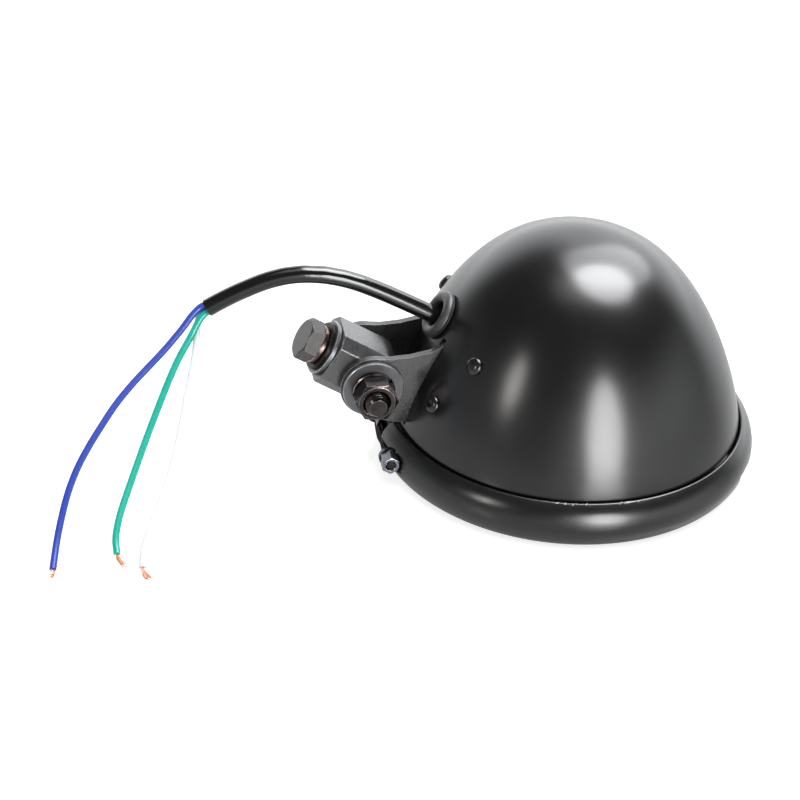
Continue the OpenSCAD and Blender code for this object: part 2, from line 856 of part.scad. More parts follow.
module copper_green() {
  color("#c86e4b")
    tube(strand_route(green_route, green_tip), copper_d, 8, [1, 0, 0]);
}

module copper_white() {
  color("#c86e4b")
    tube(strand_route(white_route, white_tip), copper_d, 8, [1, 0, 0]);
}

shell();
trim_ring();
ring_screw();
ring_nut();
lens();
lens_gasket();
reflector();
bulb_glass();
bulb_base();
bulb_clip();
dust_boot();
connector();
lead_tail();
ear_right();
ear_left();
rivets();
grommet();
pivot_bolt();
pivot_washer_right();
pivot_washer_left();
pivot_lock_washer();
pivot_nut();
pivot_block();
mount_bolt();
mount_lock_washer();
mount_washer_black();
mount_washer_wide();
sheath();
wire_blue();
wire_green();
wire_white();
copper_blue();
copper_green();
copper_white();
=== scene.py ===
"""Looks of a round motorcycle headlight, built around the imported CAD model.

Lengths are written in millimetres and turned into metres where a mesh is made. The camera, the
leads' routes and the lights are written in metres.
"""
import math
import random

import bmesh
import bpy
from mathutils import Matrix, Vector


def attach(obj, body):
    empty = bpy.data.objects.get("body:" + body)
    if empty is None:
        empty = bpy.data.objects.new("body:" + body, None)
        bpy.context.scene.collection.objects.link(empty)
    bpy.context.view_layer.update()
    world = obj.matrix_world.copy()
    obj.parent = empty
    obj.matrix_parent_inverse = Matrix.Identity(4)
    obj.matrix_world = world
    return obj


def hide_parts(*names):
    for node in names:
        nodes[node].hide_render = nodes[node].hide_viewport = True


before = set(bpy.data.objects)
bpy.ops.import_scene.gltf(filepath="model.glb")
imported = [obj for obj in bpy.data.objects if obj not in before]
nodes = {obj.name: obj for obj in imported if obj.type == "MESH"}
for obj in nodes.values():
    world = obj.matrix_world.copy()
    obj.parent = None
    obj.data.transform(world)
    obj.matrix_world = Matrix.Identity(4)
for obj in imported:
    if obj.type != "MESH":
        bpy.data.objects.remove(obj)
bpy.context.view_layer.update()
scene = bpy.context.scene
MM = 0.001
LAMP = "lamp"
ARM = "mount_arm"

# Camera, fitted to the photograph
CAMERA_PLACE = (-0.2617972, -0.9770404, 0.6466425)
RIGHT = Vector((0.9862071, -0.1555124, 0.0566706))
DOWN = Vector((-0.0350767, -0.5309774, -0.8466597))
AHEAD = Vector((0.1617568, 0.8329939, -0.5291085))
FOCAL_LENGTH = 124.43
SENSOR_WIDTH = 36


def photo_camera():
    """The camera stands at its place, and its picture's right, foot and depth point as given."""
    data = bpy.data.cameras.new("camera")
    data.lens = FOCAL_LENGTH
    data.sensor_width = SENSOR_WIDTH
    data.clip_start = 0.05
    data.clip_end = 50
    camera = bpy.data.objects.new("camera", data)
    scene.collection.objects.link(camera)
    turn = Matrix((RIGHT, -DOWN, -AHEAD)).transposed().to_4x4()
    camera.matrix_world = Matrix.Translation(CAMERA_PLACE) @ turn
    scene.camera = camera


photo_camera()

# Routes of the lead, the same points as in the construction, in metres
SHEATH = [(-0.0569, 0, 0.0654), (-0.0619, 0, 0.0684), (-0.068, 0, 0.0718), (-0.076, 0, 0.076),
          (-0.086, 0, 0.081), (-0.096, 0, 0.0852), (-0.107, 0, 0.088), (-0.119, 0, 0.0886),
          (-0.13, 0, 0.0864), (-0.141, 0, 0.0818), (-0.149, 0, 0.0776), (-0.155, 0, 0.074)]
BLUE = [(-0.1561, 0, 0.07555), (-0.1583, -0.0001, 0.0742), (-0.1615, -0.0018, 0.0716),
        (-0.166, -0.005, 0.067), (-0.173, -0.01, 0.061), (-0.18, -0.015, 0.056),
        (-0.187, -0.02, 0.051), (-0.194, -0.026, 0.0455), (-0.2, -0.0325, 0.04),
        (-0.206, -0.0395, 0.034), (-0.211, -0.046, 0.028), (-0.215, -0.053, 0.0215),
        (-0.218, -0.06, 0.0145), (-0.2205, -0.0683, 0.008), (-0.2226, -0.0782, 0.002)]
GREEN = [(-0.15468, -0.00152, 0.07317), (-0.1564, -0.0017, 0.0721), (-0.1589, -0.0033, 0.0695),
         (-0.1622, -0.0062, 0.0643), (-0.167, -0.011, 0.058), (-0.171, -0.016, 0.052),
         (-0.175, -0.022, 0.0455), (-0.179, -0.0285, 0.039), (-0.183, -0.0355, 0.0325),
         (-0.187, -0.043, 0.026), (-0.1905, -0.05, 0.0205), (-0.194, -0.0575, 0.015),
         (-0.196, -0.063, 0.011), (-0.197, -0.0675, 0.0074), (-0.1968, -0.0726, 0.0041)]
WHITE = [(-0.15468, 0.00152, 0.07317), (-0.1565, 0.0014, 0.072), (-0.1582, 0.0005, 0.0699),
         (-0.1591, -0.0018, 0.0659), (-0.1599, -0.0057, 0.0602), (-0.1612, -0.0103, 0.0544),
         (-0.163, -0.015, 0.0485), (-0.165, -0.0205, 0.043), (-0.167, -0.027, 0.037),
         (-0.169, -0.033, 0.032), (-0.1715, -0.04, 0.0265), (-0.1745, -0.048, 0.0215),
         (-0.178, -0.056, 0.017), (-0.182, -0.064, 0.0125), (-0.1852, -0.071, 0.0086),
         (-0.1868, -0.0766, 0.0053), (-0.1872, -0.0812, 0.003)]
TIPS = {"blue": (-0.2229, -0.082, 0.0011), "green": (-0.1944, -0.0775, 0.0012),
        "white": (-0.1854, -0.0864, 0.0012)}


# Node helpers, which return the socket that holds the result
def noise(tree, place, scale, detail):
    n = tree.nodes.new("ShaderNodeTexNoise")
    n.inputs["Scale"].default_value = scale
    n.inputs["Detail"].default_value = detail
    tree.links.new(place, n.inputs["Vector"])
    return n.outputs["Fac"]


def remapped(tree, value, old, new, smooth_step=False):
    """The value carried over from one range to another, and held at both ends."""
    n = tree.nodes.new("ShaderNodeMapRange")
    if smooth_step:
        n.interpolation_type = "SMOOTHSTEP"
    n.inputs["From Min"].default_value = old[0]
    n.inputs["From Max"].default_value = old[1]
    n.inputs["To Min"].default_value = new[0]
    n.inputs["To Max"].default_value = new[1]
    tree.links.new(value, n.inputs["Value"])
    return n.outputs["Result"]


def calculated(tree, operation, one, two):
    n = tree.nodes.new("ShaderNodeMath")
    n.operation = operation
    tree.links.new(one, n.inputs[0])
    tree.links.new(two, n.inputs[1])
    return n.outputs["Value"]


def toward(tree, place, x, y):
    """How far a place or a direction reaches toward (x, y)."""
    n = tree.nodes.new("ShaderNodeVectorMath")
    n.operation = "DOT_PRODUCT"
    n.inputs[1].default_value = (x, y, 0)
    tree.links.new(place, n.inputs[0])
    return n.outputs["Value"]


# Materials
NOISE_COLOUR_SPAN = (0.15, 0.85)
NOISE_ROUGH_SPAN = (0.2, 0.8)
FINER = 2.3
BUMP_DEPTH = 0.0004


def with_edge_highlight_and_wear(tree, place, colour, edge, edge_patch_span, edge_patch_scale):
    """The colour, changed to edge where the marking attribute and a noise are both high: painted
    highlight along marked edges, and wear such as chipped paint.
    """
    mark = tree.nodes.new("ShaderNodeAttribute")
    mark.attribute_name = "wear_and_highlight"
    patches = remapped(tree, noise(tree, place, edge_patch_scale, 3), edge_patch_span, (0, 1))
    mix = tree.nodes.new("ShaderNodeMix")
    mix.data_type = "RGBA"
    mix.inputs["B"].default_value = (*edge, 1)
    share = calculated(tree, "MULTIPLY", mark.outputs["Fac"], patches)
    tree.links.new(share, mix.inputs["Factor"])
    tree.links.new(colour, mix.inputs["A"])
    return mix.outputs["Result"]


def material(name, colour, rough, metal=0.0, vary=0.12, vary_scale=60, rough_vary=0.06,
             grain=0.05, grain_scale=1500, edge=None, edge_patch_span=(0.3, 0.6), edge_patch_scale=500, ior=1.5):
    """A node material: colour and roughness drift with noise, and fine grain bumps the surface.

    edge is the lighter colour of marked edges, painted highlight and wear, and the two arguments
    after it give the range and scale of the noise in which it shows.
    """
    m = bpy.data.materials.new(name)
    m.use_nodes = True
    tree = m.node_tree
    shader = tree.nodes["Principled BSDF"]
    place = tree.nodes.new("ShaderNodeTexCoord").outputs["Object"]

    tint = tree.nodes.new("ShaderNodeVectorMath")
    tint.operation = "SCALE"
    tint.inputs[0].default_value = colour
    drift = remapped(tree, noise(tree, place, vary_scale, 2), NOISE_COLOUR_SPAN,
                     (1 - vary, 1 + vary))
    tree.links.new(drift, tint.inputs["Scale"])
    final = tint.outputs["Vector"]
    if edge:
        final = with_edge_highlight_and_wear(tree, place, final, edge, edge_patch_span, edge_patch_scale)
    tree.links.new(final, shader.inputs["Base Color"])

    shine = remapped(tree, noise(tree, place, vary_scale * FINER, 6), NOISE_ROUGH_SPAN,
                     (max(0.02, rough - rough_vary), rough + rough_vary))
    tree.links.new(shine, shader.inputs["Roughness"])

    bump = tree.nodes.new("ShaderNodeBump")
    bump.inputs["Strength"].default_value = grain
    bump.inputs["Distance"].default_value = BUMP_DEPTH
    tree.links.new(noise(tree, place, grain_scale, 3), bump.inputs["Height"])
    tree.links.new(bump.outputs["Normal"], shader.inputs["Normal"])

    shader.inputs["Metallic"].default_value = metal
    shader.inputs["IOR"].default_value = ior
    return m


def glass(name, colour):
    m = material(name, colour, 0.04, vary=0.02, rough_vary=0.02, grain=0.01)
    m.node_tree.nodes["Principled BSDF"].inputs["Transmission Weight"].default_value = 1
    return m


# Edge colours are painted on bevels and chamfers: lighter lines that stand for highlights along the
# edges, broken by noise into patches like wear. On the trim ring the edge colour marks real chips in
# the paint of the hem.
FINISHES = {
    "paint": material("satin_black_paint", (0.0045, 0.0045, 0.0048), 0.235, vary=0.08,
                      vary_scale=30, rough_vary=0.018, grain=0.03, grain_scale=900),
    "ring": material("ring_black_paint", (0.006, 0.006, 0.0062), 0.25, vary=0.1, vary_scale=45,
                     rough_vary=0.03, grain=0.04, grain_scale=1000, edge=(0.4, 0.4, 0.4),
                     edge_patch_span=(0.57, 0.63), edge_patch_scale=800),
    "ear": material("ear_paint", (0.023, 0.023, 0.0237), 0.28, vary=0.15, vary_scale=70,
                    rough_vary=0.06, grain=0.1, grain_scale=1200, edge=(0.4, 0.4, 0.4),
                    edge_patch_span=(0.25, 0.6), ior=1.7),
    "block": material("block_grey_coat", (0.016, 0.016, 0.017), 0.3, vary=0.1,
                      vary_scale=140, rough_vary=0.06, grain=0.3, grain_scale=2600,
                      edge=(0.13, 0.13, 0.135), ior=1.75),
    "dark": material("black_nickel", (0.04, 0.036, 0.035), 0.2, metal=1.0, vary=0.35,
                     vary_scale=300, rough_vary=0.09, grain=0.1, grain_scale=1800,
                     edge=(0.3, 0.24, 0.225)),
    "zinc": material("blue_zinc", (0.15, 0.155, 0.18), 0.3, metal=0.9, vary=0.3,
                     vary_scale=500, rough_vary=0.1, grain=0.2, grain_scale=1800,
                     edge=(0.4, 0.41, 0.46)),
    "grey": material("grey_zinc", (0.11, 0.11, 0.118), 0.34, metal=0.6, vary=0.18,
                     vary_scale=160, rough_vary=0.08, grain=0.12, grain_scale=1600,
                     edge=(0.4, 0.4, 0.42), edge_patch_span=(0.2, 0.6)),
    "steel": material("bolt_steel", (0.052, 0.047, 0.044), 0.32, vary=0.5, vary_scale=650,
                      rough_vary=0.1, grain=0.3, grain_scale=1300, edge=(0.25, 0.225, 0.215),
                      ior=1.3),
    "pink": material("warm_steel", (0.11, 0.08, 0.073), 0.24, metal=1.0, vary=0.3, vary_scale=220,
                     rough_vary=0.08, grain=0.06, edge=(0.35, 0.27, 0.25)),
    "washer": material("black_washer", (0.005, 0.005, 0.005), 0.3, vary=0.2,
                       vary_scale=150, rough_vary=0.08, grain=0.08, edge=(0.03, 0.028, 0.027),
                       ior=1.2),
    "rubber": material("black_rubber", (0.032, 0.032, 0.033), 0.45, vary=0.2, vary_scale=220,
                       rough_vary=0.08, grain=0.1, grain_scale=1800),
    "plastic": material("black_plastic", (0.02, 0.02, 0.021), 0.4, vary=0.1, grain=0.15,
                        edge=(0.04, 0.04, 0.04)),
    "sheath": material("sheath_pvc", (0.005, 0.005, 0.0056), 0.13, vary=0.15, vary_scale=150,
                       rough_vary=0.04, grain=0.05, grain_scale=700),
    "blue": material("blue_pvc", (0.028, 0.062, 0.42), 0.24, vary=0.06, vary_scale=250,
                     rough_vary=0.05, grain=0.05, grain_scale=900),
    "green": material("green_pvc", (0.007, 0.42, 0.31), 0.24, vary=0.06, vary_scale=250,
                      rough_vary=0.05, grain=0.05, grain_scale=900),
    "white": material("white_pvc", (0.84, 0.84, 0.88), 0.36, vary=0.02, vary_scale=250,
                      rough_vary=0.05, grain=0.05, grain_scale=900),
    "copper": material("copper_strand", (0.82, 0.42, 0.3), 0.3, metal=0.7, vary=0.15,
                       vary_scale=900, grain=0.03),
    "mirror": material("reflector_coat", (0.9, 0.9, 0.91), 0.06, metal=1.0, vary=0.02,
                       rough_vary=0.03, grain=0.01, grain_scale=400),
    "bright": material("bright_metal", (0.62, 0.62, 0.63), 0.3, metal=1.0, vary=0.08,
                       rough_vary=0.08, grain=0.08),
    "lens": glass("lens_glass", (0.95, 0.97, 0.98)),
}

# Mesh helpers
ON_AXIS = 1e-6
SAME_POINT = 1e-4
SLIVER = 1e-5
CLEAN_METRES = 5e-6
SAME_METRES = 1e-6
SAME_PLANE = math.radians(0.6)
CHAMFER_LEAN = (0.3, 0.95)
SMOOTH_ANGLE = 35


def turned(profile, steps=128):
    """A closed profile of (radius, height) pairs turned about Z."""
    bm = bmesh.new()
    rings = []
    for i in range(steps):
        a = math.radians(360 * i / steps)
        rings.append([bm.verts.new((r * math.cos(a), r * math.sin(a), z)) for r, z in profile])
    count = len(profile)
    for i in range(steps):
        a, b = rings[i], rings[(i + 1) % steps]
        for k in range(count):
            j = (k + 1) % count
            if profile[k][0] < ON_AXIS and profile[j][0] < ON_AXIS:
                continue
            bm.faces.new((a[k], b[k], b[j], a[j]))
    bmesh.ops.remove_doubles(bm, verts=bm.verts, dist=SAME_POINT)
    bmesh.ops.dissolve_degenerate(bm, edges=bm.edges, dist=SLIVER)
    bmesh.ops.recalc_face_normals(bm, faces=bm.faces)
    return bm


def bridge(bm, one, two):
    """Closes the strip between two rings of as many points."""
    count = len(one)
    for k in range(count):
        j = (k + 1) % count
        bm.faces.new((one[k], one[j], two[j], two[k]))


def prism(points, low, high):
    """A flat outline raised from low to high."""
    bm = bmesh.new()
    bottom = [bm.verts.new((x, y, low)) for x, y in points]
    top = [bm.verts.new((x, y, high)) for x, y in points]
    bm.faces.new(list(reversed(bottom)))
    bm.faces.new(top)
    bridge(bm, bottom, top)
    bmesh.ops.recalc_face_normals(bm, faces=bm.faces)
    return bm


def box(low, high):
    outline = [(low[0], low[1]), (high[0], low[1]), (high[0], high[1]), (low[0], high[1])]
    return prism(outline, low[2], high[2])


def rod(radius, low, high, steps=64):
    return turned([(0, low), (radius, low), (radius, high), (0, high)], steps)


def moved(bm, matrix):
    bmesh.ops.transform(bm, matrix=matrix, verts=bm.verts)
    return bm


def merged(*parts):
    """Several meshes in one, without joining their surfaces."""
    bm = bmesh.new()
    for part in parts:
        mesh = bpy.data.meshes.new("part")
        part.to_mesh(mesh)
        part.free()
        bm.from_mesh(mesh)
        bpy.data.meshes.remove(mesh)
    return bm


def made(name, bm, finish=None):
    """An object from a mesh in metres, which is used up."""
    mesh = bpy.data.meshes.new(name)
    bm.to_mesh(mesh)
    bm.free()
    o = bpy.data.objects.new(name, mesh)
    scene.collection.objects.link(o)
    if finish:
        mesh.materials.append(FINISHES[finish])
    return o


def piece(name, bm, finish=None, place=None, angle=SMOOTH_ANGLE):
    """An object from a mesh in millimetres, which is used up."""
    if place is not None:
        moved(bm, place)
    bmesh.ops.scale(bm, vec=(MM, MM, MM), verts=bm.verts)
    o = made(name, bm, finish)
    smooth(o, angle)
    return o


def smooth(o, angle):
    o.data.shade_smooth()
    o.data.set_sharp_from_angle(angle=math.radians(angle))


def apply(o):
    """Replaces an object's mesh by what its modifiers make of it."""
    graph = bpy.context.evaluated_depsgraph_get()
    done = bpy.data.meshes.new_from_object(o.evaluated_get(graph))
    o.modifiers.clear()
    o.data = done


def round_edges(o, width, angle):
    """Rounds the sharp edges, and marks the new faces for the lighter edge colour: painted
    highlight, and wear.
    """
    o.data.materials.append(o.data.materials[0])
    b = o.modifiers.new("round", "BEVEL")
    b.width = width * MM
    b.segments = 2
    b.limit_method = "ANGLE"
    b.angle_limit = math.radians(angle)
    b.harden_normals = True
    b.material = 1
    apply(o)
    mark_edge_highlight_and_wear(o, lambda face: face.material_index == 1)
    for face in o.data.polygons:
        face.material_index = 0
    o.data.materials.pop(index=1)


def mark_edge_highlight_and_wear(o, chosen):
    """Marks the chosen faces in the attribute that the materials' lighter edges follow: painted
    highlight, and wear.
    """
    wear_and_highlight = o.data.attributes.new("wear_and_highlight", "FLOAT", "CORNER")
    for face in o.data.polygons:
        if chosen(face):
            for i in face.loop_indices:
                wear_and_highlight.data[i].value = 1.0


def combine(o, bm, kind, place=None):
    """Cuts, joins or intersects an object with a mesh in millimetres."""
    combine_objects(o, piece("cutter", bm, None, place), kind)


def combine_objects(o, other, kind):
    """The same with another object, which is used up."""
    b = o.modifiers.new("combine", "BOOLEAN")
    b.operation = kind
    b.solver = "EXACT"
    b.object = other
    apply(o)
    bpy.data.objects.remove(other)


def carved(bm, other, kind):
    """What combine makes of two meshes in millimetres, as such a mesh."""
    o = piece("carved", bm)
    combine(o, other, kind)
    out = bmesh.new()
    out.from_mesh(o.data)
    bmesh.ops.scale(out, vec=(1 / MM, 1 / MM, 1 / MM), verts=out.verts)
    bpy.data.objects.remove(o)
    return out


def cleaned(o):
    """Joins double points and takes out slivers and loose points."""
    bm = bmesh.new()
    bm.from_mesh(o.data)
    bmesh.ops.remove_doubles(bm, verts=bm.verts, dist=CLEAN_METRES)
    bmesh.ops.dissolve_degenerate(bm, edges=bm.edges, dist=CLEAN_METRES)
    bmesh.ops.delete(bm, geom=[v for v in bm.verts if not v.link_faces], context="VERTS")
    bm.to_mesh(o.data)
    bm.free()


def add(name, node, bm, finish, place, body, bevel=0.0, angle=SMOOTH_ANGLE, holes=(), rims=False):
    """A piece that stands for a CAD node, from meshes in millimetres along the axis of place.

    bevel rounds its edges, and rims marks the chamfers of a turned piece for the lighter edge
    colour: painted highlight along the rims, in patches like wear.
    """
    o = piece(name, bm, finish, place, angle)
    for hole in holes:
        combine(o, hole, "DIFFERENCE", place)
    smooth(o, angle)
    if bevel:
        round_edges(o, bevel, angle)
    # Lighter chamfers: a painted highlight round the rims.
    if rims:
        axis = (place.to_3x3() @ Vector((0, 0, 1))).normalized()
        flattest, steepest = CHAMFER_LEAN
        mark_edge_highlight_and_wear(o, lambda face: flattest < abs(face.normal.dot(axis)) < steepest)
    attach(o, body)
    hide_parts(node)
    return o


def refined(node, name, finish, body, bevel=0.0, angle=30):
    """A copy of a CAD node with clean faces and rounded edges, which stands for the node."""
    bm = bmesh.new()
    bm.from_mesh(nodes[node].data)
    bmesh.ops.remove_doubles(bm, verts=bm.verts, dist=SAME_METRES)
    bmesh.ops.dissolve_limit(bm, angle_limit=SAME_PLANE, verts=bm.verts, edges=bm.edges)
    o = made(name, bm, finish)
    for face in o.data.polygons:
        face.material_index = 0
    smooth(o, angle)
    if bevel:
        round_edges(o, bevel, angle)
    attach(o, body)
    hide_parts(node)
    return o


# Sizes shared with the construction, in millimetres

# Clearances, and how far a cutter reaches past a face or past the whole lamp
FIT = 0.3
RUN = 0.05
SKIN = 0.15
OVER = 1.0
BEYOND = 100.0

# Bucket: its side, the dome's depth and curve, the height where it starts, and the flange
SHELL_R = 74.6
SHELL_DEPTH = 81.7
NARROW = 0.79
RISE = 1.596
APEX = 90
BASE_Z = 21.2
WALL = 1.2
FLANGE_R = 76.6
FLANGE_Z = 11.35
SKIRT_Z = FLANGE_Z + WALL

# Trim ring: the bead, its hem and front lip, the split, and the drain opening
RING_R = 81.5
BEAD = 12.4
MID_Z = 11.0
BACK_Z = 20.6
HEM = 0.9
FOOT_R = 73.0
LIP_R = 70.0
LIP_Z = 6.0
SPLIT_Y = -4.0
SPLIT_GAP = 9.0
DRAIN_ANGLE = -29
DRAIN_LENGTH = 16.0
DRAIN_LOW = 1.3
DRAIN_TOP = 11.2

# Ring screw, with the two lugs that it pulls together and the pockets they stand in
SCREW_R = 2.0
SCREW_X = RING_R - 2.0
SCREW_Z = 11.5
LUG_T = 2.0
LUG_R = 4.12
LUG_SETBACK = 11.5
NEAR_LUG = SPLIT_Y - SPLIT_GAP / 2 - LUG_SETBACK
FAR_LUG = SPLIT_Y + SPLIT_GAP / 2 + LUG_SETBACK
RING_NUT_AF = 7.0
RING_NUT_H = 6.5
RING_NUT_LOW = -NEAR_LUG + LUG_T
RING_NUT_TOP = RING_NUT_LOW + RING_NUT_H
SCREW_HEAD = -FAR_LUG - LUG_T
POCKET_R = LUG_R + 1.1
POCKET_LENGTH = RING_NUT_H + 2.0

# Bracket: the pivot, the ears and their slots, the rivets (azimuth, height) and the grommet
PIVOT_X = 87.0
PIVOT_Z = 42.6
BLOCK_ANGLE = 30
EAR_T = 3.0
EAR_IN = 12.75
EAR_OUT = EAR_IN + EAR_T
SLOT_LOW = 23.6
SLOT_HIGH = 63.9
RIVET_R = 2.0
RIVETS = ((35.3, PIVOT_Z + 20.3), (23.7, PIVOT_Z - 1.6))
GROMMET_Z = 67.2
GROMMET_NECK = 8.0
GROMMET_BORE = 5.25

# Bolts: thread, hexagons and washers, then heights along the block and outwards along the pivot
BOLT_R = 5.0
BOLT_PITCH = 1.5
BOLT_AF = 16
HEAD_H = 6.4
NUT_H = 8.4
WASHER_BORE = 5.3
SPRING_T = 2.2
MOUNT_SPRING_R = 8.5
PIVOT_SPRING_R = 9.0
BLACK_WASHER_R = 10.5
WIDE_WASHER_R = 12.0
PIVOT_WASHER_R = 12.75
MOUNT_TIP = 8.2
BLOCK_FRONT = 20.4
WIDE_TOP = BLOCK_FRONT + 1.9
BLACK_TOP = WIDE_TOP + 1.8
SPRING_TOP = BLACK_TOP + SPRING_T
NEAR_SPRING = EAR_OUT + 2.0
NEAR_NUT = NEAR_SPRING + SPRING_T
NUT_TOP = NEAR_NUT + NUT_H
BOLT_END = NUT_TOP + 3.7

FLIP = Matrix.Rotation(math.pi, 4, "X")
MIRROR = Matrix.Scale(-1, 4, (0, 1, 0))
ON_PIVOT = Matrix.Translation((-PIVOT_X, 0, PIVOT_Z)) @ Matrix.Rotation(math.pi / 2, 4, "X")
ON_SCREW = Matrix.Translation((-SCREW_X, 0, SCREW_Z)) @ Matrix.Rotation(math.pi / 2, 4, "X")
ALONG_BLOCK = (Matrix.Translation((-PIVOT_X, 0, PIVOT_Z))
               @ Matrix.Rotation(math.radians(BLOCK_ANGLE - 90), 4, "Y"))


# The dome's curve, by a parameter t from 0 degrees at its base to 90 at its top
def dome_r(t):
    return 0.0 if t >= APEX else SHELL_R * math.cos(math.radians(t)) ** NARROW


def dome_z(t):
    return BASE_Z + SHELL_DEPTH * math.sin(math.radians(t)) ** RISE


def dome_t(z):
    return math.degrees(math.asin(min(1, max(0, (z - BASE_Z) / SHELL_DEPTH)) ** (1 / RISE)))


def dome_tilt(t):
    """Angle of the surface's normal above the horizontal."""
    if t <= 0:
        return 0.0
    if t >= APEX:
        return 90.0
    s = math.sin(math.radians(t))
    c = math.cos(math.radians(t))
    return math.degrees(math.atan2(SHELL_R * NARROW * c ** (NARROW - 1) * s,
                                   SHELL_DEPTH * RISE * s ** (RISE - 1) * c))


def dome_point(t, depth):
    a = math.radians(dome_tilt(t))
    return max(0.0, dome_r(t) - depth * math.cos(a)), dome_z(t) - depth * math.sin(a)


def on_dome(azimuth, z):
    """Stands a piece on the dome's outside, an azimuth away from the bracket's side."""
    t = dome_t(z)
    return (Matrix.Rotation(math.radians(180 + azimuth), 4, "Z")
            @ Matrix.Translation((dome_r(t), 0, z))
            @ Matrix.Rotation(math.radians(90 - dome_tilt(t)), 4, "Y"))


def dome_normal(p):
    flat = math.hypot(p.x, p.y)
    tilt = math.radians(dome_tilt(dome_t(p.z))) if p.z > BASE_Z else 0.0
    if flat < SAME_POINT:
        return Vector((0, 0, 1))
    return Vector((math.cos(tilt) * p.x / flat, math.cos(tilt) * p.y / flat, math.sin(tilt)))


# Bucket
BUCKET_ROWS = 150
ROW_SPREAD = 1.15
SKIRT_ROWS = 6
BUCKET_STEPS = 256


def bucket():
    angles = [APEX * (i / BUCKET_ROWS) ** ROW_SPREAD for i in range(BUCKET_ROWS + 1)]
    outer = [dome_point(t, 0) for t in angles]
    inner = [dome_point(t, WALL) for t in reversed(angles)]
    inside = SHELL_R - WALL
    skirt = [(SHELL_R, SKIRT_Z + (BASE_Z - SKIRT_Z) * i / SKIRT_ROWS) for i in range(SKIRT_ROWS)]
    flange = [(inside, SKIRT_Z), (inside - WALL, FLANGE_Z), (FLANGE_R, FLANGE_Z),
              (FLANGE_R, SKIRT_Z)]
    o = piece("bucket", turned(skirt + outer + inner + flange, BUCKET_STEPS), "paint")
    for side in (Matrix.Identity(4), MIRROR):
        slot = box((-PIVOT_X, -EAR_OUT - FIT, SLOT_LOW), (-PIVOT_X / 2, FIT - EAR_IN, SLOT_HIGH))
        combine(o, slot, "DIFFERENCE", side)
        for azimuth, z in RIVETS:
            combine(o, rod(RIVET_R + RUN, -3 * EAR_T, EAR_T, 32), "DIFFERENCE",
                    side @ on_dome(azimuth, z))
    combine(o, rod(GROMMET_NECK + RUN, -GROMMET_NECK / 2, GROMMET_NECK / 2), "DIFFERENCE",
            on_dome(0, GROMMET_Z))
    use_dome_normals(o.data)
    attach(o, LAMP)
    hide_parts("shell")


def use_dome_normals(mesh):
    """Takes the normals of the ideal surface, so that reflections stay clean round the holes."""
    mesh.shade_smooth()
    normals = []
    for face in mesh.polygons:
        centre = face.center / MM
        facing = face.normal.dot(dome_normal(centre))
        for v in face.vertices:
            n = dome_normal(mesh.vertices[v].co / MM)
            if facing > 0.9:
                normals.append(n)
            elif facing < -0.9 and centre.z >= BASE_Z - 0.1:
                normals.append(-n)
            else:
                normals.append(face.normal)
    mesh.normals_split_custom_set([tuple(n) for n in normals])


bucket()

# Trim ring, and where its paint is nicked, in degrees round the lamp
NICKS = ((-107, -94), (-85, -78))
RING_ANGLE = 32
LUG_INSET = 0.03


